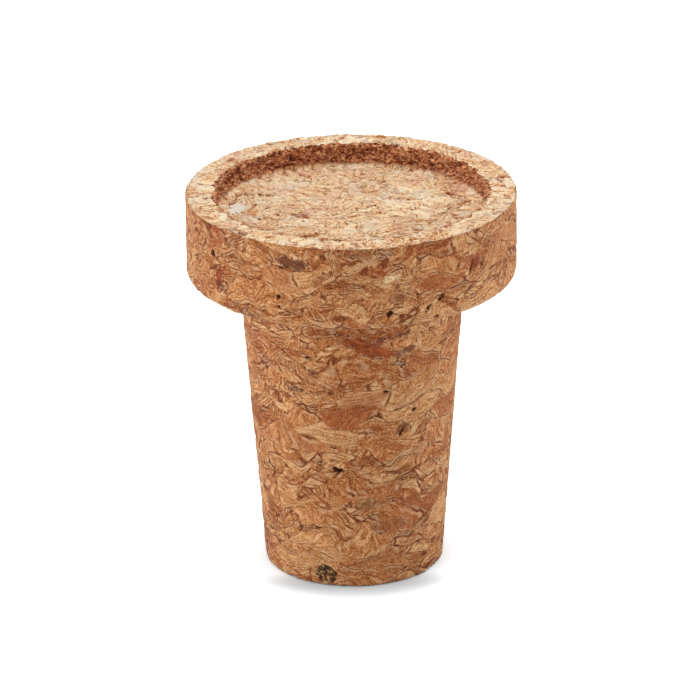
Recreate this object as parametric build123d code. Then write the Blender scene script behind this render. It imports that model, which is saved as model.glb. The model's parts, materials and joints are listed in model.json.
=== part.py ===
from build123d import *
import os

# A turned cork stopper for a jar or carafe, cut in one piece from agglomerated cork.
# A tapered plug stands on its small foot and carries a wide disc head.
# The head's top has a shallow round recess, which leaves a raised rim all round.
# Millimetres, +Z up along the axis, with the origin at the centre of the foot's underside.

# Head: the disc that a hand lifts, and that lands on the vessel's lip.
head_diameter = 45.0
head_thickness = 11.8

# Plug: the taper that is pushed into the mouth.
plug_length = 41.7
plug_top_diameter = 30.8
plug_foot_diameter = 24.4

# Recess: the flat-bottomed pocket turned into the head's top.
rim_width = 3.8
recess_depth = 3.1

# Edges, as radii.
head_lower_edge = 1.2
head_top_edge = 0.15
rim_inner_edge = 0.15
recess_root = 1.0
neck_root = 0.3
foot_edge = 0.4

# Agglomerated cork, in kilograms for each cubic metre.
cork_density = 280.0

# Radii and heights that follow from the sizes above.
head_radius = head_diameter / 2
plug_top_radius = plug_top_diameter / 2
plug_foot_radius = plug_foot_diameter / 2
recess_radius = head_radius - rim_width
total_height = plug_length + head_thickness
recess_floor = total_height - recess_depth


def corner(radius, height):
    """A point of the half section, at a distance from the axis and a height above the foot."""
    return Vector(radius, 0, height)


def rounded(section, place, radius):
    """Rounds the one corner of the half section that lies at the place."""
    vertex = section.vertices().sort_by_distance(place)[0]
    return fillet(vertex, radius)


def half_section():
    """Half of the stopper's lengthwise section, from the axis outwards."""
    foot_centre = corner(0, 0)
    foot = corner(plug_foot_radius, 0)
    neck = corner(plug_top_radius, plug_length)
    lower = corner(head_radius, plug_length)
    top = corner(head_radius, total_height)
    mouth = corner(recess_radius, total_height)
    root = corner(recess_radius, recess_floor)
    floor_centre = corner(0, recess_floor)
    outline = Polyline(foot_centre, foot, neck, lower, top, mouth, root, floor_centre, close=True)
    section = make_face(outline)
    # Each round is a little under what the faces beside it can hold.
    section = rounded(section, foot, foot_edge)
    section = rounded(section, neck, min(neck_root, 0.3 * (head_radius - plug_top_radius)))
    section = rounded(section, lower, min(head_lower_edge, 0.3 * head_thickness))
    section = rounded(section, top, min(head_top_edge, 0.3 * rim_width))
    section = rounded(section, mouth, min(rim_inner_edge, 0.3 * recess_depth))
    section = rounded(section, root, min(recess_root, 0.6 * recess_depth))
    return section


def cork_stopper():
    """The whole stopper: its half section turned once about the axis."""
    return revolve(half_section(), Axis.Z)


os.makedirs("parts", exist_ok=True)
stopper = cork_stopper()
export_step(stopper, "parts/cork_stopper.step")

volume_cm3 = stopper.volume / 1000
print(f"cork_stopper: {len(stopper.solids())} solid, {volume_cm3:.2f} cm3")
print(f"weight in agglomerated cork: {volume_cm3 * cork_density / 1000:.1f} g")
print(f"recess: radius {recess_radius:.2f}, floor at {recess_floor:.2f}")
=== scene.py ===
# %% [markdown]
# # A cork stopper
# The object is a stopper for a jar or a carafe: a tapered plug under a wide disc head, with a shallow
# round recess in the top. It is turned in one piece from agglomerated cork, which is crushed cork
# pressed together with a binder. Its whole character is in that stuff, so this lesson spends most of
# its cells on the granules: their outlines, their growth rings, their pores and their torn faces.

# %% Load the fixed frame
import json
import math

import bpy
import numpy as np
from mathutils import Matrix, Vector


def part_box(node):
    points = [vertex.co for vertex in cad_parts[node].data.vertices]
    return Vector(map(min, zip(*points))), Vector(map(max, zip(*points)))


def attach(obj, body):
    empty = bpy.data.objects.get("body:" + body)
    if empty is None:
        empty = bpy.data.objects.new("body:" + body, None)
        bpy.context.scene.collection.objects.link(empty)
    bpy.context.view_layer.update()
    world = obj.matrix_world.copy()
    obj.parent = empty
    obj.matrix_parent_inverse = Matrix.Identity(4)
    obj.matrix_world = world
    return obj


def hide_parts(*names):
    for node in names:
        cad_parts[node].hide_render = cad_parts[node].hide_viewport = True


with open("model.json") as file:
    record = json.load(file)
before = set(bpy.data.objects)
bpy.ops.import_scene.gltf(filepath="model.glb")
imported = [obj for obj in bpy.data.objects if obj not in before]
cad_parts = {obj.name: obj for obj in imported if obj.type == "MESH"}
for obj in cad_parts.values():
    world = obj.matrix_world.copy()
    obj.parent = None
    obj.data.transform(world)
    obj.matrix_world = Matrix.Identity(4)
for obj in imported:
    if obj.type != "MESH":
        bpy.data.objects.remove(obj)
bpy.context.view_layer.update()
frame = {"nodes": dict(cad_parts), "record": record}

MM = 0.001

# %% [markdown]
# ## The sizes of the turned form
# The sizes could be typed in again, but a copy drifts from its source. They are read from the frame
# instead: the box gives the head's width and the height, and the mounts give the recess and the head's
# underside. The plug's taper is read from the solid's own points, at two heights.

# %% Read the sizes
_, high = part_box("cork_stopper")
mounts = {mount["name"]: mount for mount in frame["record"]["mounts"]}
solid_points = np.array([point.co for point in frame["nodes"]["cork_stopper"].data.vertices]) / MM

head_radius = high.x / MM
top_height = high.z / MM
underside_height = mounts["head_underside"]["pos_m"][2] / MM
recess_radius = mounts["top_recess"]["dims"]["r_mm"]
recess_height = mounts["recess_floor"]["pos_m"][2] / MM


def solid_radius(lowest, highest):
    """The widest distance from the axis, and the mean height, of the solid's points between two heights."""
    inside = (solid_points[:, 2] > lowest) & (solid_points[:, 2] < highest)
    found = solid_points[inside]
    return np.hypot(found[:, 0], found[:, 1]).max(), found[:, 2].mean()


# The straight taper starts just above the round of the foot and ends just below the round of the neck.
foot_ring, foot_ring_height = solid_radius(0.3, 0.5)
neck_ring, neck_ring_height = solid_radius(underside_height - 0.4, underside_height - 0.25)
taper = (neck_ring - foot_ring) / (neck_ring_height - foot_ring_height)
foot_radius = foot_ring - taper * foot_ring_height
neck_radius = foot_radius + taper * underside_height
print(f"foot {foot_radius:.2f}, neck {neck_radius:.2f} mm from the axis")
print(f"head {head_radius:.2f}, recess {recess_radius:.2f} mm from the axis")

# %% [markdown]
# ## The outline
# A turned thing is one half section swept round an axis. Blender's Screw modifier could sweep a curve,
# but it gives every ring the same number of points, which crowds them at the middle and starves the
# rim. Here the outline is a list of stations instead. Each one holds a radius, a height, the way that
# the surface faces there, and how far apart the mesh's points should be. That spacing is fine where
# the cork is torn, and coarse underneath, where nobody looks closely.

# %% Lines and arcs of the outline
# How far apart the points lie, in millimetres.
SIDE_SPACING = 0.32
TOP_SPACING = 0.31
TORN_SPACING = 0.22
UNDER_SPACING = 0.60
# The radii of the rounded edges and roots, the same as the solid has.
LOWER_EDGE = 1.2
FOOT_EDGE = 0.4
CRISP_EDGE = 0.15
NECK_ROOT = 0.3
RECESS_ROOT = 1.0


def straight(start, end, facing, spacing):
    """Stations from start up to, but not at, end."""
    count = max(1, round(math.dist(start, end) / spacing))
    shares = [step / count for step in range(count)]
    return [(start[0] + (end[0] - start[0]) * t, start[1] + (end[1] - start[1]) * t, *facing, spacing)
            for t in shares]


def curved(centre, radius, first, last, spacing, hollow=False):
    """Stations round an edge or a hollow root, from one angle to another, in degrees."""
    count = max(2, round(radius * math.radians(abs(last - first)) / spacing))
    stations = []
    for step in range(count):
        angle = math.radians(first + (last - first) * step / count)
        way = (math.cos(angle), math.sin(angle))
        facing = (-way[0], -way[1]) if hollow else way
        stations.append((centre[0] + radius * way[0], centre[1] + radius * way[1], *facing, spacing))
    return stations


# %% The whole outline, from under the foot round to the middle of the recess
lean = math.degrees(math.atan(taper))
lean_cos = math.cos(math.radians(lean))
lean_sin = math.sin(math.radians(lean))
foot_centre = (foot_radius + FOOT_EDGE * taper - FOOT_EDGE / lean_cos, FOOT_EDGE)
neck_centre_height = underside_height - NECK_ROOT
neck_centre = (foot_radius + taper * neck_centre_height + NECK_ROOT / lean_cos, neck_centre_height)
plug_start = (foot_centre[0] + FOOT_EDGE * lean_cos, foot_centre[1] - FOOT_EDGE * lean_sin)
plug_end = (neck_centre[0] - NECK_ROOT * lean_cos, neck_centre[1] + NECK_ROOT * lean_sin)
rim_height = top_height - CRISP_EDGE
root_height = recess_height + RECESS_ROOT
edge_centre = head_radius - LOWER_EDGE
head_side_height = underside_height + LOWER_EDGE
mouth_centre = recess_radius + CRISP_EDGE
floor_radius = recess_radius - RECESS_ROOT

sections = {
    "foot": straight((0, 0), (foot_centre[0], 0), (0, -1), UNDER_SPACING),
    "plug": (
        curved(foot_centre, FOOT_EDGE, -90, -lean, SIDE_SPACING)
        + straight(plug_start, plug_end, (lean_cos, -lean_sin), SIDE_SPACING)
        + curved(neck_centre, NECK_ROOT, 180 - lean, 90, SIDE_SPACING, hollow=True)),
    "underside": straight(
        (neck_centre[0], underside_height), (edge_centre, underside_height), (0, -1), UNDER_SPACING),
    "head": (
        curved((edge_centre, head_side_height), LOWER_EDGE, -90, 0, SIDE_SPACING)
        + straight((head_radius, head_side_height), (head_radius, rim_height), (1, 0), SIDE_SPACING)
        + curved((head_radius - CRISP_EDGE, rim_height), CRISP_EDGE, 0, 90, TORN_SPACING)),
    "rim": straight((head_radius - CRISP_EDGE, top_height), (mouth_centre, top_height), (0, 1), TOP_SPACING),
    "wall": (
        curved((mouth_centre, rim_height), CRISP_EDGE, 90, 180, TORN_SPACING)
        + straight((recess_radius, rim_height), (recess_radius, root_height), (-1, 0), TORN_SPACING)
        + curved((floor_radius, root_height), RECESS_ROOT, 0, -90, TORN_SPACING, hollow=True)),
    "floor": (
        straight((floor_radius, recess_height), (0, recess_height), (0, 1), TOP_SPACING)
        + [(0, recess_height, 0, 1, TOP_SPACING)]),
}
outline = [station for stretch in sections.values() for station in stretch]
print("stations along each section:", {name: len(stretch) for name, stretch in sections.items()})

# %% [markdown]
# ## The mesh
# Every station becomes a ring of points, as many as its spacing asks for, and each ring starts at its
# own angle so that no seam lines up. Neighbouring rings then have different counts, so a grid can't
# join them. A zip can: it walks round both rings at once, and each step makes one triangle from
# whichever ring is behind.

# %% Rings of points
FEWEST_ON_RING = 6
ON_AXIS = 1e-6
SEED = 7
turn_starts = np.random.default_rng(SEED).random(len(outline)) * math.tau


def ring_of(station, start):
    """The angles of one ring's points. A station on the axis has only one."""
    radius, spacing = station[0], station[4]
    if radius < ON_AXIS:
        return np.array([0.0])
    count = max(FEWEST_ON_RING, round(math.tau * radius / spacing))
    return start / count + np.arange(count) * math.tau / count


rings = [ring_of(station, start) for station, start in zip(outline, turn_starts)]
first_of_ring = np.concatenate([[0], np.cumsum([len(ring) for ring in rings])[:-1]])
turns = np.concatenate(rings)
stations = np.repeat(np.array(outline), [len(ring) for ring in rings], axis=0)
radii, heights, face_out, face_up = stations[:, 0], stations[:, 1], stations[:, 2], stations[:, 3]
station_gaps = [math.dist(before[:2], after[:2]) for before, after in zip(outline, outline[1:])]
travel = np.concatenate([[0], np.cumsum(station_gaps)])

points = np.stack([radii * np.cos(turns), radii * np.sin(turns), heights], axis=1)
outward = np.stack([face_out * np.cos(turns), face_out * np.sin(turns), face_up], axis=1)
print(f"{len(points)} points on {len(rings)} rings")

# %% Zip the rings together


def zipped(below, above):
    """Triangles between two rings of points, given the numbers of the rings."""
    triangles = []
    a, b = rings[below], rings[above]
    first_a, first_b = int(first_of_ring[below]), int(first_of_ring[above])
    step_a = step_b = 0
    steps_a = 0 if len(a) == 1 else len(a)
    steps_b = 0 if len(b) == 1 else len(b)
    while step_a < steps_a or step_b < steps_b:
        next_a = (step_a + 1) / steps_a + a[0] / math.tau if step_a < steps_a else math.inf
        next_b = (step_b + 1) / steps_b + b[0] / math.tau if step_b < steps_b else math.inf
        here_a, here_b = first_a + step_a % len(a), first_b + step_b % len(b)
        if next_a <= next_b:
            step_a += 1
            triangles.append((here_a, first_a + step_a % len(a), here_b))
        else:
            step_b += 1
            triangles.append((here_a, first_b + step_b % len(b), here_b))
    return triangles


faces = [face for lower in range(len(rings) - 1) for face in zipped(lower, lower + 1)]
print(f"{len(faces)} triangles")

# %% [markdown]
# ## Odd granules and holes
# Most granules can come from a pattern, but a few on the real stopper catch the eye: a scrap of bark at
# the foot, a white chip in the recess, a rust-coloured sliver under the head. Those are listed one by one.
# They could be painted in a texture, but then the mesh wouldn't know about them. Each is written here
# as an oval lying on the surface, and every point of the mesh stores how far it is from the nearest
# one. The shader and the modelling then read the same numbers.

# %% Colours, written as a screen shows them


def shade(red, green, blue):
    """A screen colour, 0 to 255, as the linear light that Blender works in."""
    def linear(value):
        share = value / 255
        return share / 12.92 if share <= 0.04045 else ((share + 0.055) / 1.055) ** 2.4
    return linear(red), linear(green), linear(blue)


RUST = shade(158, 76, 40)
UMBER = shade(152, 92, 56)
PLUM = shade(126, 72, 48)
BROWN = shade(162, 98, 58)
OLIVE = shade(160, 104, 58)
SAND = shade(232, 190, 142)
CREAM = shade(254, 247, 234)
ORANGE = shade(226, 134, 62)

# %% Where the odd granules lie
# On the sides: angle from the front in degrees, height, length, width, tilt in degrees, colour.
SIDE_CHIPS = [
    (8.0, 36.2, 8.6, 2.3, -24, RUST),
    (23.0, 37.6, 3.6, 0.7, 8, PLUM),
    (27.0, 35.0, 3.8, 0.8, 16, PLUM),
    (24.0, 33.6, 2.6, 0.6, -12, UMBER),
    (-19.0, 18.5, 1.9, 1.3, 60, UMBER),
    (21.5, 8.9, 5.0, 2.2, -4, BROWN),
    (5.4, 12.7, 3.4, 1.5, 8, OLIVE),
    (-32.0, 29.4, 3.6, 0.7, -6, PLUM),
    (-22.0, 32.4, 1.3, 1.0, 30, PLUM),
    (29.0, 23.4, 2.2, 1.5, 35, UMBER),
    (-21.0, 51.0, 4.4, 1.9, -6, PLUM),
    (-10.5, 49.0, 2.9, 1.2, 38, UMBER),
    (-19.5, 51.9, 1.9, 0.9, -35, SAND),
    (-40.0, 42.9, 3.2, 0.9, -22, UMBER),
    (-52.0, 46.2, 3.2, 1.8, 78, RUST),
    (48.0, 48.6, 2.6, 1.3, 80, RUST),
    (15.5, 46.0, 2.3, 1.4, -8, UMBER),
    (13.5, 48.9, 2.3, 0.9, 10, SAND),
    (6.0, 52.6, 5.5, 0.9, 2, UMBER),
]
# On the top: place along X and Y, length, width, tilt, colour.
TOP_CHIPS = [
    (-15.4, 1.8, 3.9, 2.3, 72, CREAM),
    (-13.3, -0.4, 2.3, 1.5, 70, ORANGE),
    (-15.2, -15.6, 4.4, 1.8, -42, UMBER),
    (-6.8, -1.2, 2.6, 2.2, 20, RUST),
]

# %% Where the holes and slits lie
# On the sides: angle, height, length, width, tilt. On the top: place along X and Y, length, width, tilt.
SIDE_HOLES = [
    (-9.0, 17.8, 1.9, 0.8, -12),
    (36.0, 25.9, 0.9, 0.7, 30),
    (28.0, 23.0, 1.3, 0.5, 60),
    (18.5, 29.4, 0.8, 0.5, 0),
    (46.0, 8.8, 3.4, 0.3, 27),
    (33.0, 1.8, 1.2, 0.5, 35),
    (22.0, 40.9, 1.7, 0.6, 0),
    (-26.0, 45.9, 0.9, 0.8, 0),
    (-26.0, 44.5, 0.6, 0.6, 0),
    (-69.0, 47.2, 1.6, 0.9, 20),
    (-56.0, 49.2, 1.3, 0.8, -60),
    (45.5, 48.3, 2.4, 0.5, 72),
    (51.0, 48.2, 2.1, 0.4, 76),
    (13.0, 43.9, 1.1, 0.7, 40),
    (32.0, 45.1, 1.7, 0.5, 42),
    (27.0, 43.9, 1.7, 0.5, 48),
    (30.0, 42.5, 1.2, 0.4, 20),
    (-24.0, 34.3, 1.2, 0.3, -15),
]
TOP_HOLES = [
    (-8.6, 17.6, 1.6, 0.9, 20),
    (6.4, 18.4, 2.0, 0.8, -50),
    (-12.0, 6.8, 1.5, 0.8, 30),
    (4.2, 12.2, 2.2, 0.6, -50),
    (11.5, -1.4, 1.1, 0.7, -20),
]
# Where the growth rings run round and round, like a burl: angle, height, radius.
SIDE_SWIRLS = [
    (36.5, 50.6, 2.6),
    (1.0, 50.4, 3.6),
    (38.0, 43.8, 2.8),
    (-44.0, 48.8, 2.4),
    (-30.0, 20.5, 3.0),
]
# The same on the top: place along X and Y, radius.
TOP_SWIRLS = [
    (18.5, -8.6, 2.8),
    (8.5, -4.0, 3.0),
]
# A scrap of rough bark at the foot: angle, height, length, width, tilt.
BARK_SCRAP = (-18.5, 1.7, 3.0, 2.7, 0)

# %% Measure every point against an oval


def on_side(angle, height):
    """A place on the side, with the ways along it and up it."""
    turn = math.radians(angle - 90)
    radius = head_radius if height > underside_height else foot_radius + taper * height
    place = np.array([radius * math.cos(turn), radius * math.sin(turn), height])
    return place, np.array([-math.sin(turn), math.cos(turn), 0.0]), np.array([0.0, 0.0, 1.0])


def on_top(x, y):
    """A place on the top, on the rim or in the recess, with the ways along X and Y."""
    height = top_height if math.hypot(x, y) > recess_radius else recess_height
    return np.array([x, y, height]), np.array([1.0, 0.0, 0.0]), np.array([0.0, 1.0, 0.0])


# Points further off than FAR count as that far. An oval reaches SKIN_DEPTH through the cork at most.
FAR = 9.0
SKIN_DEPTH = 2.5


def distance_to(spot, length, width, tilt):
    """How far each point is outside an oval on the surface. Inside it the distance is negative."""
    place, along, up = spot
    turn = math.radians(tilt)
    long_way = along * math.cos(turn) + up * math.sin(turn)
    short_way = up * math.cos(turn) - along * math.sin(turn)
    offset = points - place
    reach = np.hypot(offset @ long_way / (length / 2), offset @ short_way / (width / 2)) - 1
    depth = np.abs(offset @ np.cross(along, up))
    return np.where(depth < SKIN_DEPTH, reach * min(length, width) / 2, FAR)


def nearest(ovals):
    """The distance to the nearest of several ovals, and which one that is."""
    found = np.array(ovals)
    return np.minimum(found.min(axis=0), FAR), found.argmin(axis=0)


def placed(on_sides, on_tops):
    """The spots and the other numbers of the things on the sides, and then of those on the top."""
    found = [(on_side(angle, height), *rest) for angle, height, *rest in on_sides]
    return found + [(on_top(x, y), *rest) for x, y, *rest in on_tops]


# %% Find how far every point is from each kind of oval
chips = placed(SIDE_CHIPS, TOP_CHIPS)
holes = placed(SIDE_HOLES, TOP_HOLES)
swirls = placed(SIDE_SWIRLS, TOP_SWIRLS)
chip_reach, chip_number = nearest([distance_to(spot, *oval) for spot, *oval, _ in chips])
chip_colour = np.array([colour for *_, colour in chips])[chip_number]
hole_reach, _ = nearest([distance_to(spot, *oval) for spot, *oval in holes])
bark_reach = distance_to(on_side(*BARK_SCRAP[:2]), *BARK_SCRAP[2:])
swirl_reach, _ = nearest([distance_to(spot, 2 * radius, 2 * radius, 0) for spot, radius in swirls])
print(f"{len(chips)} odd granules, {len(holes)} holes and slits, {len(swirls)} swirls")

# %% [markdown]
# ## Zones
# The sides were sanded, the top was faced with a cutter that tore it a little, and the wall of the
# recess was torn most of all. One number a point for each finish lets the shader pass smoothly from one
# to the next. A vertex group would do the same; a named attribute is simply easier to fill in one go.

# %% Mark the zones


def eased(value, start, end):
    """0 before start, 1 after end, and smooth between."""
    share = np.clip((value - start) / (end - start), 0, 1)
    return share * share * (3 - 2 * share)


# Heights that differ by less than a hair count as the same.
HAIR = 0.01
up_facing = eased(face_up, 0.3, 0.9)
in_recess = (radii < recess_radius + 0.5 * CRISP_EDGE) & (heights > recess_height - HAIR)
torn = np.where(in_recess, eased(heights, recess_height + 0.05, recess_height + 0.6), 0.0)
milled = up_facing * (1 - torn)
on_rim = heights > rim_height - HAIR
tear_fade = eased(radii, recess_radius + 1.0, recess_radius + CRISP_EDGE)
tear = np.where(in_recess, torn, tear_fade * on_rim)
outer_edge = eased(np.abs(radii - head_radius), 0.7, 0.0) * (heights > rim_height - 0.6)
foot_rim = eased(heights, 0.9, 0.2) * (radii > foot_radius - 1.0)
inner_edge = eased(np.abs(radii - recess_radius), 1.0, 0.0) * on_rim
crumbly = np.maximum(inner_edge, np.maximum(outer_edge, foot_rim))
radial = np.stack([np.cos(turns), np.sin(turns), np.zeros_like(turns)], axis=1)

# %% Make the mesh and store the numbers
mesh = bpy.data.meshes.new("cork_stopper_turned")
mesh.from_pydata((points * MM).tolist(), [], faces)
mesh.validate()
mesh.polygons.foreach_set("use_smooth", np.ones(len(mesh.polygons), dtype=bool))


def store(name, kind, field, values):
    """Keeps one value a point on the mesh, under a name that node trees can read."""
    layer = mesh.attributes.new(name, kind, "POINT")
    layer.data.foreach_set(field, np.asarray(values, dtype=np.float32).ravel())


store("turned_place", "FLOAT_VECTOR", "vector", points)
store("outward", "FLOAT_VECTOR", "vector", outward)
store("tear_way", "FLOAT_VECTOR", "vector", radial * tear[:, None])
store("chip_colour", "FLOAT_VECTOR", "vector", chip_colour)
for name, values in [("chip_reach", chip_reach), ("hole_reach", hole_reach), ("swirl_reach", swirl_reach),
                     ("bark_reach", bark_reach), ("torn", torn), ("milled", milled), ("crumbly", crumbly)]:
    store(name, "FLOAT", "value", values)

stopper = bpy.data.objects.new("cork_stopper_granules", mesh)
bpy.context.scene.collection.objects.link(stopper)
print(f"the mesh has {len(mesh.vertices)} points and {len(mesh.polygons)} faces")

# %% [markdown]
# ## A way to write node trees
# The granule pattern is needed twice: in the material, for its colour, and in geometry nodes, for its
# relief. Both kinds of tree know the same noise and cell textures, so one recipe can serve both, if it
# is written as arithmetic. A Wire is a value on its way through a tree, and adding or multiplying two of
# them adds the node that does it.

# %% Wires


class Wire:
    """A value travelling through a node tree."""

    def __init__(self, tree, socket):
        self.tree = tree
        self.socket = socket

    def maths(self, operation, *others, clamp=False):
        """A sum, product or other operation on this value and others."""
        node = self.tree.nodes.new("ShaderNodeMath")
        node.operation = operation
        node.use_clamp = clamp
        for slot, value in enumerate((self, *others)):
            feed(self.tree, node.inputs[slot], value)
        return Wire(self.tree, node.outputs[0])

    def vector(self, operation, *others):
        """An operation on this vector and others. A scale takes a plain value as its second."""
        node = self.tree.nodes.new("ShaderNodeVectorMath")
        node.operation = operation
        slots = [0, 3] if operation == "SCALE" else [0, 1, 2]
        for slot, value in zip(slots, (self, *others)):
            feed(self.tree, node.inputs[slot], value)
        return Wire(self.tree, node.outputs["Value" if operation in ("DOT_PRODUCT", "LENGTH") else "Vector"])

    def __add__(self, other):
        return self.maths("ADD", other)

    def __sub__(self, other):
        return self.maths("SUBTRACT", other)

    def __mul__(self, other):
        return self.maths("MULTIPLY", other)

    def __truediv__(self, other):
        return self.maths("DIVIDE", other)

    def clamped(self):
        """The same value, held between 0 and 1."""
        return self.maths("ADD", 0.0, clamp=True)

    def inverse(self):
        """One less the value."""
        return self.maths("MULTIPLY_ADD", -1.0, 1.0)

    def eased(self, start, end):
        """0 at start, 1 at end, and smooth between, whichever of the two is the larger."""
        node = self.tree.nodes.new("ShaderNodeMapRange")
        node.interpolation_type = "SMOOTHSTEP"
        feed(self.tree, node.inputs["Value"], self)
        node.inputs["From Min"].default_value = start
        node.inputs["From Max"].default_value = end
        return Wire(self.tree, node.outputs["Result"])

    def part(self, axis):
        """One coordinate of a vector."""
        node = self.tree.nodes.new("ShaderNodeSeparateXYZ")
        feed(self.tree, node.inputs[0], self)
        return Wire(self.tree, node.outputs[axis])


def feed(tree, socket, value):
    """Puts a wire or a plain number into a socket."""
    if isinstance(value, Wire):
        tree.links.new(value.socket, socket)
    else:
        socket.default_value = value


# %% Blends and textures
# The middle of a random colour, which has three values from 0 to 1.
MIDDLE = (0.5, 0.5, 0.5)


def blended(first, second, share):
    """Passes from first to second as share goes from 0 to 1, for two numbers."""
    node = share.tree.nodes.new("ShaderNodeMix")
    node.data_type = "FLOAT"
    for slot, value in ((0, share), (2, first), (3, second)):
        feed(share.tree, node.inputs[slot], value)
    return Wire(share.tree, node.outputs[0])


def blended_vector(first, second, share):
    """The same for two vectors."""
    node = share.tree.nodes.new("ShaderNodeMix")
    node.data_type = "VECTOR"
    for slot, value in ((0, share), (4, first), (5, second)):
        feed(share.tree, node.inputs[slot], value)
    return Wire(share.tree, node.outputs[1])


def noise(place, size, detail=2.0, roughness=0.5, seed=None, output="Fac"):
    """Cloudy noise whose blobs are about size millimetres across. A seed picks another cloud."""
    node = place.tree.nodes.new("ShaderNodeTexNoise")
    node.noise_dimensions = "3D" if seed is None else "4D"
    feed(place.tree, node.inputs["Vector"], place)
    if seed is not None:
        feed(place.tree, node.inputs["W"], seed)
    node.inputs["Scale"].default_value = 1 / size
    node.inputs["Detail"].default_value = detail
    node.inputs["Roughness"].default_value = roughness
    return Wire(place.tree, node.outputs[output])


def wander(place, size, reach, seed, detail=1.0):
    """A vector that wanders by about reach millimetres each way."""
    cloud = noise(place, size, detail, seed=seed, output="Color")
    return cloud.vector("SUBTRACT", MIDDLE).vector("SCALE", 2 * reach)


def cells(place, feature="F1", randomness=1.0):
    """Voronoi cells about one unit across."""
    node = place.tree.nodes.new("ShaderNodeTexVoronoi")
    node.feature = feature
    node.inputs["Scale"].default_value = 1.0
    node.inputs["Randomness"].default_value = randomness
    feed(place.tree, node.inputs["Vector"], place)
    return node


# %% [markdown]
# ## The granule field
# Granules were pressed from above, so they are wider than they are tall, and their outlines wriggle
# where they gave way to each other. A Voronoi texture gives the packing, but its straight walls look
# like cracked glass, so the place is crumpled before it is looked up. About half of the large cells are
# broken again into small ones. Each granule keeps its own direction for the growth rings, because it was
# a separate scrap of bark once, and those rings bend with the crumpling.

# %% One recipe for both trees
# The size of a large granule along X, Y and Z, how many times smaller a broken one is, what share of
# them is broken, and the gap between growth rings, in millimetres.
GRANULE = (7.2, 7.2, 2.9)
SMALLER = 2.0
BROKEN_SHARE = 0.50
RING_GAP = 0.60


def granule_field(place, chip, swirl):
    """The pressed granules at a place in millimetres, as wires for each thing worth knowing there."""
    tree = place.tree
    crumple = wander(place, 6.0, 3.2, 1.0).vector("ADD", wander(place, 1.5, 0.42, 2.0, 4.0))
    crumpled = place.vector("ADD", crumple)
    large_place = crumpled.vector("DIVIDE", GRANULE)
    small_place = large_place.vector("MULTIPLY_ADD", (SMALLER, SMALLER, SMALLER), (3.3, 7.1, 5.7))
    large, small = cells(large_place), cells(small_place)

    broken = Wire(tree, large.outputs["Color"]).part("Y").maths("GREATER_THAN", 1 - BROKEN_SHARE)
    large_edge = Wire(tree, cells(large_place, "DISTANCE_TO_EDGE").outputs["Distance"]) * 2.6
    small_edge = Wire(tree, cells(small_place, "DISTANCE_TO_EDGE").outputs["Distance"]) * (2.6 / SMALLER)
    edge = blended(large_edge, large_edge.maths("MINIMUM", small_edge), broken)
    character = blended_vector(Wire(tree, large.outputs["Color"]), Wire(tree, small.outputs["Color"]), broken)

    # A listed granule takes over from the pattern inside its own ragged outline.
    ragged = noise(place, 0.9, 2.0, seed=5.0) - 0.5
    chip_depth = chip + ragged * 2.0
    in_chip = chip_depth.eased(0.06, -0.06)
    edge = blended(edge, chip_depth.maths("ABSOLUTE"), chip_depth.eased(0.35, 0.15))

    # Growth rings lie across the granule's own direction, drift, and turn to follow its outline.
    lie = character.vector("SUBTRACT", MIDDLE).vector("MULTIPLY", (0.7, 0.7, 2.0)).vector("NORMALIZE")
    seed = character.part("X") * 40.0
    drift = noise(place, 4.0, 1.0, seed=seed) * 2.4 + noise(place, 1.0, 1.0, seed=8.0) * 0.5
    rings = crumpled.vector("DOT_PRODUCT", lie) / RING_GAP + drift + edge * 0.8
    burl = swirl * 2.4 / RING_GAP + noise(place, 1.6, 1.0, seed=9.0) * 2.2
    ring_wave = (rings * math.tau).maths("SINE")
    burl_wave = (burl * math.tau).maths("SINE")
    wave = blended(ring_wave, burl_wave, swirl.eased(0.1, -0.1)) * 0.5 + 0.5

    # Fibres are noise drawn out along the rings, so that it is fine across them and long beside them.
    drawn_out = place.vector("SCALE", 0.38).vector("ADD", lie.vector("SCALE", rings * 2.2))
    fibre = noise(drawn_out, 1.0, 4.0, 0.78, seed=12.0)

    # Corners of the small granules are where pores open.
    corner = Wire(tree, small.outputs["Distance"]) * broken + noise(place, 2.4, 1.0, seed=11.0) * 0.3
    return {"edge": edge, "tone": character.part("Z"), "vividness": character.part("Y"), "wave": wave,
            "fibre": fibre, "corner": corner, "in_chip": in_chip}


# %% Patterns that the colour and the relief share
# The cutter drew the top out a little along X, and tore the wall in scraps wider than they are tall.
ALONG_CUT = (0.8, 1.4, 1.0)
ALONG_WALL = (1.0, 1.0, 1.7)


def crevices(place):
    """Where the cutter tore the top: low in a crevice, and high between them."""
    return noise(place.vector("MULTIPLY", ALONG_CUT), 1.3, 3.0, 0.65, seed=15.0)


def split_clusters(place):
    """Splits between fibres come in clusters: 1 in a cluster, 0 outside."""
    return noise(place, 3.0, 2.0, seed=35.0).eased(0.40, 0.58)


def large_rips(torn_place):
    """The larger tears of the recess wall."""
    return noise(torn_place, 1.4, 4.0, 0.7, seed=17.0)


def ragged_hole(place, reach):
    """The distance to the nearest hole, with a ragged outline. It is negative inside."""
    return reach + (noise(place, 0.6, 1.0, seed=6.0) - 0.5) * 0.5


# %% [markdown]
# ## Relief
# The real surface isn't smooth: granules stand a hair higher or lower than their neighbours, small
# holes open where corners didn't meet, the top is torn in short crevices, and the wall of the recess is
# rough enough to snag a thumb. Bump mapping would fake it and leave the outline perfectly round, so
# geometry nodes move the points themselves, and the result is applied. Points can move out a little as
# well as in, but none is left outside the head's radius, below the foot or above the top, because the
# stopper can't be larger than it was turned.

# %% Build the relief tree
relief = bpy.data.node_groups.new("cork_relief", "GeometryNodeTree")
relief.interface.new_socket("Geometry", in_out="INPUT", socket_type="NodeSocketGeometry")
relief.interface.new_socket("Geometry", in_out="OUTPUT", socket_type="NodeSocketGeometry")


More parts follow.
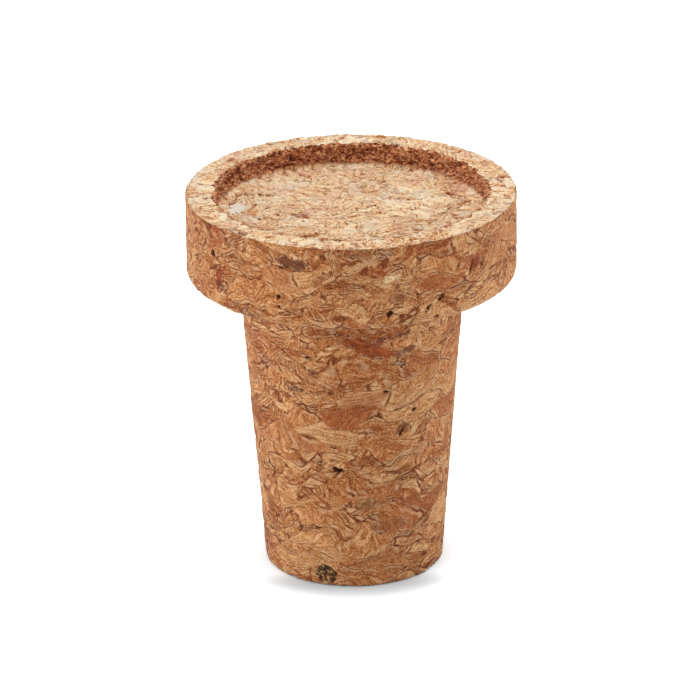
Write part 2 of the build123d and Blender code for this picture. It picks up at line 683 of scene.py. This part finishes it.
def stored(name, kind="FLOAT"):
    """Reads a stored attribute in the relief tree."""
    node = relief.nodes.new("GeometryNodeInputNamedAttribute")
    node.data_type = kind
    node.inputs["Name"].default_value = name
    used = [socket for socket in node.outputs if socket.enabled and socket.name == "Attribute"]
    return Wire(relief, used[0])


place = stored("turned_place", "FLOAT_VECTOR")
field = granule_field(place, stored("chip_reach"), stored("swirl_reach"))
torn_share, milled_share, crumbly_share = stored("torn"), stored("milled"), stored("crumbly")

groove = field["edge"].eased(0.26, 0.0) * noise(place, 1.7, 1.0, seed=14.0).eased(0.35, 0.60)
pore = field["corner"].eased(1.14, 1.20)
hole = ragged_hole(place, stored("hole_reach")).eased(0.02, -0.22)
step = (field["tone"] - 0.5) * 0.10 + (field["fibre"] - 0.5) * 0.14
split = field["fibre"].eased(0.45, 0.36) * split_clusters(place)
crevice = crevices(place).eased(0.44, 0.34)
crumble = noise(place, 0.9, 3.0, 0.65, seed=16.0).eased(0.40, 0.75)
torn_place = place.vector("MULTIPLY", ALONG_WALL)
small_rip = noise(torn_place, 0.7, 2.0, seed=28.0) - 0.5
rip = (large_rips(torn_place) - 0.5) * 2.8 + small_rip * 1.4

# %% How deep each of them goes, in millimetres
sanded_grain = noise(place, 0.7, 2.0, seed=18.0) - 0.5
milled_grain = noise(place, 0.7, 3.0, 0.6, seed=19.0)
sanded_depth = groove * 0.09 + step + pore * 0.45 + sanded_grain * 0.10
milled_depth = crevice * 0.38 + split * 0.30 + step + pore * 0.30 + milled_grain * 0.12
depth = blended(sanded_depth, milled_depth, milled_share) * torn_share.inverse()
depth = depth + hole * 0.7 + crumbly_share * crumble * 0.30

# %% Join the relief tree up
bring_in = relief.nodes.new("NodeGroupInput")
hand_on = relief.nodes.new("NodeGroupOutput")
move = relief.nodes.new("GeometryNodeSetPosition")
shift = stored("outward", "FLOAT_VECTOR").vector("SCALE", depth * -MM)
tear_shift = stored("tear_way", "FLOAT_VECTOR").vector("SCALE", rip * MM)
relief.links.new(bring_in.outputs[0], move.inputs["Geometry"])
relief.links.new(shift.vector("ADD", tear_shift).socket, move.inputs["Offset"])
relief.links.new(move.outputs["Geometry"], hand_on.inputs[0])

# %% Apply the relief
carve = stopper.modifiers.new("relief", "NODES")
carve.node_group = relief
bpy.context.view_layer.update()
carved = bpy.data.meshes.new_from_object(stopper.evaluated_get(bpy.context.evaluated_depsgraph_get()))
stopper.modifiers.clear()
stopper.data = carved
moved = np.empty(len(carved.vertices) * 3, dtype=np.float32)
carved.vertices.foreach_get("co", moved)
moved = moved.reshape(-1, 3)
depths = -((moved / MM - points) * outward).sum(axis=1)
print(f"the relief goes from {depths.min():.2f} to {depths.max():.2f} mm deep")

# %% Keep the relief inside the head's radius and the stopper's height
limit_radius = head_radius * MM
moved_radius = np.hypot(moved[:, 0], moved[:, 1])
pull = np.minimum(1.0, limit_radius / np.maximum(moved_radius, 1e-9))
moved[:, :2] *= pull[:, None]
moved[:, 2] = np.clip(moved[:, 2], 0.0, top_height * MM)
carved.vertices.foreach_set("co", moved.ravel())
carved.update()

# %% [markdown]
# ## A map for baking
# A game engine can't run this material, so it has to be baked into one square picture. Blender's smart
# projection would cut a rough mesh into hundreds of scraps. A turned form unrolls far better: the plug
# and the head as strips, the top and the underside as discs.

# %% Where each piece of the map goes
# Millimetres on a square sheet. A strip is cut into equal lengths, each with its own corner on the sheet.
SHEET = 122.0
SHEET_EDGE = 1.2
STRIPS = {
    "plug": (neck_radius, [(0, 0)]),
    "head": (head_radius, [(0, 90.5), (0, 105.5)]),
    "wall": (recess_radius, [(75, 90.5), (75, 97.0), (75, 103.5)]),
}
# A disc has its centre on the sheet, and -1 where it faces down and so is seen from behind. The foot
# fits inside the ring of the underside, and the recess floor inside the ring of the rim.
DISCS = {
    "foot": (70.0, 67.0, -1),
    "underside": (70.0, 67.0, -1),
    "rim": (23.5, 67.0, 1),
    "floor": (23.5, 67.0, 1),
}

# %% Find which section each face belongs to
corner_points = np.empty(len(carved.loops), dtype=np.int32)
carved.loops.foreach_get("vertex_index", corner_points)
corner_points = corner_points.reshape(-1, 3)
names = list(sections)
section_of_station = np.repeat(np.arange(len(names)), [len(sections[name]) for name in names])
station_of_point = np.repeat(np.arange(len(outline)), [len(ring) for ring in rings])
section_of_face = section_of_station[station_of_point[corner_points].min(axis=1)]
sheet_places = np.zeros((len(corner_points), 3, 2))

# %% Unroll the strips
face_turns = turns[corner_points]
face_turns = face_turns[:, :1] + (face_turns - face_turns[:, :1] + math.pi) % math.tau - math.pi
face_turns -= (face_turns.mean(axis=1) // math.tau * math.tau)[:, None]
for name, (radius, places) in STRIPS.items():
    chosen = section_of_face == names.index(name)
    piece_turn = math.tau / len(places)
    piece = np.minimum(face_turns[chosen].mean(axis=1) // piece_turn, len(places) - 1).astype(int)
    start = travel[section_of_station == names.index(name)][0]
    along = (face_turns[chosen] - piece[:, None] * piece_turn) * radius
    up = travel[station_of_point[corner_points[chosen]]] - start
    sheet_places[chosen] = np.stack([along, up], axis=2) + np.array(places, dtype=float)[piece][:, None, :]

# %% Flatten the discs
for name, (across, up, side) in DISCS.items():
    chosen = section_of_face == names.index(name)
    flat = points[corner_points[chosen]][:, :, :2] * (side, 1)
    sheet_places[chosen] = flat + (across, up)

# %% Store the map
used = (sheet_places + SHEET_EDGE) / SHEET
bake_map = carved.uv_layers.new(name="OFBake")
bake_map.data.foreach_set("uv", used.astype(np.float32).ravel())
print(f"the map runs from {used.min(axis=(0, 1)).round(3)} to {used.max(axis=(0, 1)).round(3)}")

# %% [markdown]
# ## The cork itself
# The same field now gives colour. Each granule takes a tone from a ramp of tans and browns, its growth
# rings darken it in fine lines, thin broken outlines and pores fall between granules, and a fine speckle
# covers everything. The top is paler, partly because a fresh cut is paler than a sanded face, and partly
# because its bright light is painted into its colour. The torn wall is redder, and darker in its tears,
# where shade is painted in.

# %% Start the material
cork = bpy.data.materials.new("cork")
cork.use_nodes = True
tree = cork.node_tree
tree.nodes.clear()
surface = tree.nodes.new("ShaderNodeBsdfPrincipled")
finish = tree.nodes.new("ShaderNodeOutputMaterial")
tree.links.new(surface.outputs["BSDF"], finish.inputs["Surface"])


def read(name, output="Fac"):
    """Reads a stored attribute in the material."""
    node = tree.nodes.new("ShaderNodeAttribute")
    node.attribute_name = name
    return Wire(tree, node.outputs[output])


def ramp(value, stops):
    """A colour that follows a value through a list of (value, colour) stops."""
    node = tree.nodes.new("ShaderNodeValToRGB")
    feed(tree, node.inputs["Fac"], value)
    band = node.color_ramp
    while len(band.elements) < len(stops):
        band.elements.new(1.0)
    for element, (position, colour) in zip(band.elements, stops):
        element.position = position
        element.color = (*colour, 1.0)
    return Wire(tree, node.outputs["Color"])


def painted(under, over, share, how="MIX"):
    """Paints a colour over another one, as far as share says."""
    node = tree.nodes.new("ShaderNodeMix")
    node.data_type = "RGBA"
    node.blend_type = how
    for slot, value in ((0, share), (6, under), (7, over)):
        feed(tree, node.inputs[slot], (*value, 1.0) if isinstance(value, tuple) else value)
    return Wire(tree, node.outputs[2])


# %% Granule tones, growth rings and fibres
place = read("turned_place", "Vector")
torn_share, milled_share = read("torn"), read("milled")
field = granule_field(place, read("chip_reach"), read("swirl_reach"))

patchy = noise(place, 1.8, 2.0, seed=22.0).eased(0.32, 0.54)
line = field["wave"].eased(0.58, 0.96) * patchy * (field["vividness"] * 0.8 + 0.3)
fine = noise(place, 0.17, 3.0, 0.75, seed=25.0) - 0.5
grain = noise(place, 0.32, 2.0, 0.6, seed=29.0) - 0.5
cloudy = noise(place, 1.4, 3.0, 0.6, seed=21.0) - 0.5
fibre = field["fibre"] - 0.5
detail = fibre * 2.3 + fine * 2.2 + grain * 0.9
value = (field["tone"] - 0.5) * 0.42 + cloudy * 0.25 + detail

# %% Browns for the sanded sides, and paler tans for the cut top, with its bright light painted in
sanded = ramp(value + 0.60, [
    (0.00, shade(104, 42, 16)),
    (0.20, shade(138, 68, 33)),
    (0.33, shade(158, 86, 45)),
    (0.45, shade(176, 104, 57)),
    (0.57, shade(190, 120, 70)),
    (0.70, shade(204, 138, 84)),
    (0.83, shade(219, 158, 103)),
    (1.00, shade(236, 186, 134)),
])
# The top's tans are paler partly because a cut face is, and partly as painted light for the brightly lit top.
cut_with_painted_light = ramp(value * 1.35 + fibre * 1.2 + fine * 0.8 + 0.60, [
    (0.00, shade(156, 80, 34)),
    (0.15, shade(196, 120, 66)),
    (0.30, shade(219, 151, 93)),
    (0.45, shade(236, 177, 117)),
    (0.60, shade(246, 194, 136)),
    (0.80, shade(253, 214, 160)),
    (1.00, shade(255, 236, 198)),
])

# %% A redder or greyer granule here and there
hue = field["vividness"]
cream_patches = noise(place, 3.2, 3.0, seed=31.0).eased(0.54, 0.62)
pink_patches = noise(place, 2.6, 3.0, seed=32.0).eased(0.55, 0.63)
sanded = painted(sanded, shade(170, 88, 50), hue.eased(0.12, 0.06) * 0.38)
sanded = painted(sanded, shade(158, 116, 86), hue.eased(0.90, 0.96) * 0.20)
cut_with_painted_light = painted(cut_with_painted_light, shade(250, 234, 208), cream_patches * 0.64)
cut_with_painted_light = painted(cut_with_painted_light, shade(222, 152, 112), pink_patches * 0.66)
colour = painted(sanded, cut_with_painted_light, milled_share)

# %% Paint the odd granules
# Their own grain darkens and lightens them, except the white one, which is nearly even.
chip_colour_here = read("chip_colour", "Vector")
chip_grain = (value * 1.4 + 1.0).maths("MAXIMUM", 0.4)
chip_whiteness = chip_colour_here.part("Y").eased(0.6, 0.9)
chip_level = blended(chip_grain, 1.0, chip_whiteness)
chip_paint = chip_colour_here.vector("SCALE", chip_level).vector("MINIMUM", (1.0, 0.92, 0.80))
colour = painted(colour, chip_paint, field["in_chip"] * 0.92)

# %% Paint the scrap of bark
bark_depth = read("bark_reach") + (noise(place, 0.9, 2.0, seed=5.0) - 0.5) * 1.4
flecks = ramp(noise(place, 0.55, 3.0, 0.6, seed=33.0), [
    (0.40, shade(46, 26, 16)),
    (0.51, shade(84, 52, 30)),
    (0.57, shade(192, 144, 88)),
    (0.66, shade(220, 176, 116)),
])
colour = painted(colour, flecks, bark_depth.eased(0.10, -0.05) * 0.97)

# %% Pale lips as painted highlights, outlines and streaks
# Darker marks are multiplied in, because light that bounces about in a crack comes out redder.
OUTLINE_TINT = (0.38, 0.19, 0.12)
RING_TINT = (0.46, 0.29, 0.20)
STREAK_TINT = (0.38, 0.25, 0.22)
edge = field["edge"]
gaps = noise(place, 1.3, 2.0, seed=23.0)
# The pale lip beside each outline is a painted highlight, where a granule's edge would catch the light.
lip_highlight = edge.eased(0.36, 0.20) * edge.eased(0.05, 0.14) * gaps.eased(0.42, 0.60)
colour = painted(colour, shade(238, 198, 150), lip_highlight * 0.42)
outline_share = edge.eased(0.11, 0.02) * gaps.eased(0.47, 0.60)
colour = painted(colour, OUTLINE_TINT, outline_share * blended(0.85, 0.45, milled_share), "MULTIPLY")
burl_share = read("swirl_reach").eased(0.3, -0.3) * milled_share
burl_line = field["wave"].eased(0.55, 0.95) * burl_share
line_share = line * blended(0.75, 0.45, milled_share) + burl_line * 0.5
colour = painted(colour, RING_TINT, line_share.clamped(), "MULTIPLY")
streak = line * noise(place, 2.6, 1.0, seed=24.0).eased(0.60, 0.68)
colour = painted(colour, STREAK_TINT, streak * blended(0.90, 0.30, milled_share), "MULTIPLY")

# %% Pores and holes, darkened with painted shade
# The dark multiplied into pores and holes is painted shade.
PORE_SHADE_TINT = (0.24, 0.13, 0.10)
HOLE_SHADE_TINT = (0.14, 0.08, 0.06)
pore_share = field["corner"].eased(1.14, 1.18)
colour = painted(colour, PORE_SHADE_TINT, pore_share * 0.9, "MULTIPLY")
hole_share = ragged_hole(place, read("hole_reach")).eased(0.05, -0.10)
colour = painted(colour, HOLE_SHADE_TINT, hole_share, "MULTIPLY")

# %% Crevices and splits of the top
# The pale paint beside each crevice is a painted highlight on raised fibres, and the dark in the crevices
# and splits is painted shade. The rim was cut more cleanly, so it has fewer splits.
SPLIT_SHADE_TINT = (0.56, 0.27, 0.13)
CREVICE_SHADE_TINT = (0.50, 0.24, 0.12)
torn_up = crevices(place)
raised_highlight = field["fibre"].eased(0.56, 0.64) + torn_up.eased(0.45, 0.47) * torn_up.eased(0.54, 0.50)
colour = painted(colour, shade(255, 238, 208), raised_highlight.clamped() * milled_share * 0.50)
rim_share = place.part("Z").eased(recess_height + 1.0, top_height - 0.5)
split = field["fibre"].eased(0.47, 0.39) * split_clusters(place) * blended(1.0, 0.55, rim_share)
split = split * field["in_chip"].inverse()
colour = painted(colour, SPLIT_SHADE_TINT, split * milled_share * 0.90, "MULTIPLY")
crevice = torn_up.eased(0.43, 0.35)
colour = painted(colour, CREVICE_SHADE_TINT, crevice * milled_share * 0.95, "MULTIPLY")

# %% The torn wall
# The ramp runs from a painted highlight on its raised tufts down to painted shade in its deepest tears.
torn_place = place.vector("MULTIPLY", ALONG_WALL)
fine_rip = noise(torn_place, 0.5, 3.0, 0.7, seed=28.0) - 0.5
wall = ramp(large_rips(torn_place) + fine_rip * 2.6, [
    (0.16, shade(246, 194, 146)),
    (0.36, shade(220, 148, 100)),
    (0.50, shade(194, 114, 72)),
    (0.62, shade(156, 82, 50)),
    (0.80, shade(96, 44, 23)),
])
colour = painted(colour, wall, torn_share)
tree.links.new(colour.socket, surface.inputs["Base Color"])

# %% Roughness and the finest relief
# Cork hardly shines: its open cells scatter the light. A little sheen stands for its dusty fibre ends.
CORK_GLOSS = 0.10
CORK_SHEEN = 0.10
CORK_SHEEN_ROUGHNESS = 0.25
surface.inputs["Specular IOR Level"].default_value = CORK_GLOSS
surface.inputs["Sheen Weight"].default_value = CORK_SHEEN
surface.inputs["Sheen Roughness"].default_value = CORK_SHEEN_ROUGHNESS
roughness = fine * 0.6 + 0.80
tree.links.new(roughness.socket, surface.inputs["Roughness"])
rough_share = milled_share.maths("MAXIMUM", torn_share)
pitted = noise(place, 0.32, 3.0, 0.7, seed=27.0)
grainy = fine * 0.14 + grain * 0.20 + fibre * 0.30
height = grainy - outline_share * 0.10 + pitted * blended(0.14, 0.50, rough_share)
bump = tree.nodes.new("ShaderNodeBump")
bump.inputs["Strength"].default_value = 1.0
bump.inputs["Distance"].default_value = MM
tree.links.new(height.socket, bump.inputs["Height"])
tree.links.new(bump.outputs["Normal"], surface.inputs["Normal"])

carved.materials.clear()
carved.materials.append(cork)
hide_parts("cork_stopper")
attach(stopper, "root")
print(f"the cork material has {len(tree.nodes)} nodes")

# %% [markdown]
# ## The table
# The stopper stands on white paper. Lamps strong enough to make the paper white would bleach the cork,
# so the paper adds a glow that only the camera sees, also in a mirror or through glass. A plain glow
# would drown the shadow as well. An ambient occlusion node tells how much of the sky above a spot is
# hidden, and the glow fades with it near the foot. It fades most in front of the foot, where the shadow
# falls when light comes from behind, and only a little beside and behind it.

# %% The table
TABLE_SIZE = 3.0
corner = TABLE_SIZE / 2
table_mesh = bpy.data.meshes.new("table_top")
table_corners = [(-corner, -corner, 0), (corner, -corner, 0), (corner, corner, 0), (-corner, corner, 0)]
table_mesh.from_pydata(table_corners, [], [(0, 1, 2, 3)])
table = bpy.data.objects.new("table_top", table_mesh)
bpy.context.scene.collection.objects.link(table)

# %% Which rays see the white


def seen(tree):
    """1 for rays from the camera, in a mirror or through glass, and 0 for light on its way."""
    ray = tree.nodes.new("ShaderNodeLightPath")
    straight_on, mirrored = Wire(tree, ray.outputs["Is Camera Ray"]), Wire(tree, ray.outputs["Is Glossy Ray"])
    through = Wire(tree, ray.outputs["Is Transmission Ray"])
    return straight_on.maths("MAXIMUM", mirrored).maths("MAXIMUM", through)


# %% White paper
# The paper is a touch blue, which cancels the warm light that the cork throws on it.
PAPER_COLOUR = (0.75, 0.83, 0.88, 1.0)
TABLE_GLOW = 0.74
paper = bpy.data.materials.new("white_paper")
paper.use_nodes = True
paper_tree = paper.node_tree
paper_tree.nodes.clear()
matt = paper_tree.nodes.new("ShaderNodeBsdfDiffuse")
matt.inputs["Color"].default_value = PAPER_COLOUR
glow = paper_tree.nodes.new("ShaderNodeEmission")
both = paper_tree.nodes.new("ShaderNodeAddShader")
paper_finish = paper_tree.nodes.new("ShaderNodeOutputMaterial")
paper_tree.links.new(matt.outputs[0], both.inputs[0])
paper_tree.links.new(glow.outputs[0], both.inputs[1])
paper_tree.links.new(both.outputs[0], paper_finish.inputs["Surface"])

# %% The glow that fades near the foot
# The shadow reaches SHADOW_REACH millimetres. Its depth is a power of the open share of the sky, which
# goes from the faint one to the deep one between two distances in front of the foot's middle.
SHADOW_REACH = 5.8
FAINT_SHADOW = 0.8
DEEP_SHADOW = 5.0
DEEPENS_FROM = 0.55 * foot_radius
DEEPENS_TO = 0.95 * foot_radius
closeness = paper_tree.nodes.new("ShaderNodeAmbientOcclusion")
closeness.inputs["Distance"].default_value = SHADOW_REACH * MM
spot = paper_tree.nodes.new("ShaderNodeNewGeometry")
way_along_y = Wire(paper_tree, spot.outputs["Position"]).part("Y")
in_front = way_along_y.eased(-DEEPENS_FROM * MM, -DEEPENS_TO * MM)
shadow_power = blended(FAINT_SHADOW, DEEP_SHADOW, in_front)
shaded = Wire(paper_tree, closeness.outputs["AO"]).maths("POWER", shadow_power)
glow_level = shaded * seen(paper_tree) * TABLE_GLOW
paper_tree.links.new(glow_level.socket, glow.inputs["Strength"])
table_mesh.materials.append(paper)
print(f"the contact shadow reaches {SHADOW_REACH} mm from the foot")

# %% [markdown]
# ## The studio
# The room is white where it is seen, but gives only a little light. Six soft panels light the stopper:
# a strong one overhead with a weak one behind it, one at each side, and two in front. The side panels
# light both edges, the front stays a little darker, and that shows the stopper's roundness. The top
# faces the overhead panel, so it is the brightest part.

# %% The room
ROOM_LIGHT = 0.15
room = bpy.data.worlds.new("white_room")
bpy.context.scene.world = room
room.use_nodes = True
backdrop = room.node_tree.nodes["Background"]
backdrop.inputs["Color"].default_value = (1.0, 1.0, 1.0, 1.0)
room_level = blended(ROOM_LIGHT, 1.0, seen(room.node_tree))
room.node_tree.links.new(room_level.socket, backdrop.inputs["Strength"])
print(f"the room gives {ROOM_LIGHT} of the light that it shows")

# %% The lamps


def softbox(name, place, size, watts):
    """A square panel of light that faces the stopper."""
    lamp = bpy.data.lights.new(name, "AREA")
    lamp.size = size
    lamp.energy = watts
    panel = bpy.data.objects.new(name, lamp)
    bpy.context.scene.collection.objects.link(panel)
    target = Vector((0, 0, 0.6 * top_height * MM))
    panel.location = place
    panel.rotation_euler = (target - panel.location).to_track_quat("-Z", "Y").to_euler()


# Each panel: its name, its place and its width in metres, and its power in watts.
PANELS = [
    ("overhead_panel", Vector((0.0, -0.02, 0.45)), 0.30, 1.30),
    ("back_panel", Vector((0.02, 0.16, 0.42)), 0.30, 0.35),
    ("left_panel", Vector((-0.42, 0.06, 0.12)), 0.28, 0.95),
    ("right_panel", Vector((0.42, 0.06, 0.12)), 0.28, 1.10),
    ("front_left_panel", Vector((-0.34, -0.30, 0.14)), 0.30, 1.10),
    ("front_right_panel", Vector((0.34, -0.30, 0.14)), 0.30, 0.40),
]
for panel_numbers in PANELS:
    softbox(*panel_numbers)
print(f"{len(PANELS)} panels of light")

# %% [markdown]
# ## The camera
# The stopper is seen from about 22 degrees above, through a long lens that hardly narrows it with
# distance. Such a lens needs a camera far off, so the distance comes first and the lens follows.

# %% Set the camera
# Degrees for the elevation and the roll, metres for the distance, and millimetres for the rest.
ELEVATION = 21.83
ROLL = -0.59
DISTANCE = 0.9
LENS = 338.0
SENSOR_WIDTH = 36.0
AIM = (-0.35, 0.0, 30.1)
aim = Vector([part * MM for part in AIM])
angle = math.radians(ELEVATION)
eye = bpy.data.cameras.new("studio_camera")
eye.lens = LENS
eye.sensor_width = SENSOR_WIDTH
camera = bpy.data.objects.new("studio_camera", eye)
bpy.context.scene.collection.objects.link(camera)
camera.location = aim + DISTANCE * Vector((0, -math.cos(angle), math.sin(angle)))
looking = (aim - camera.location).to_track_quat("-Z", "Y").to_matrix()
camera.rotation_euler = (looking @ Matrix.Rotation(math.radians(ROLL), 3, "Z")).to_euler()
bpy.context.scene.camera = camera
bpy.context.scene.view_settings.view_transform = "Standard"
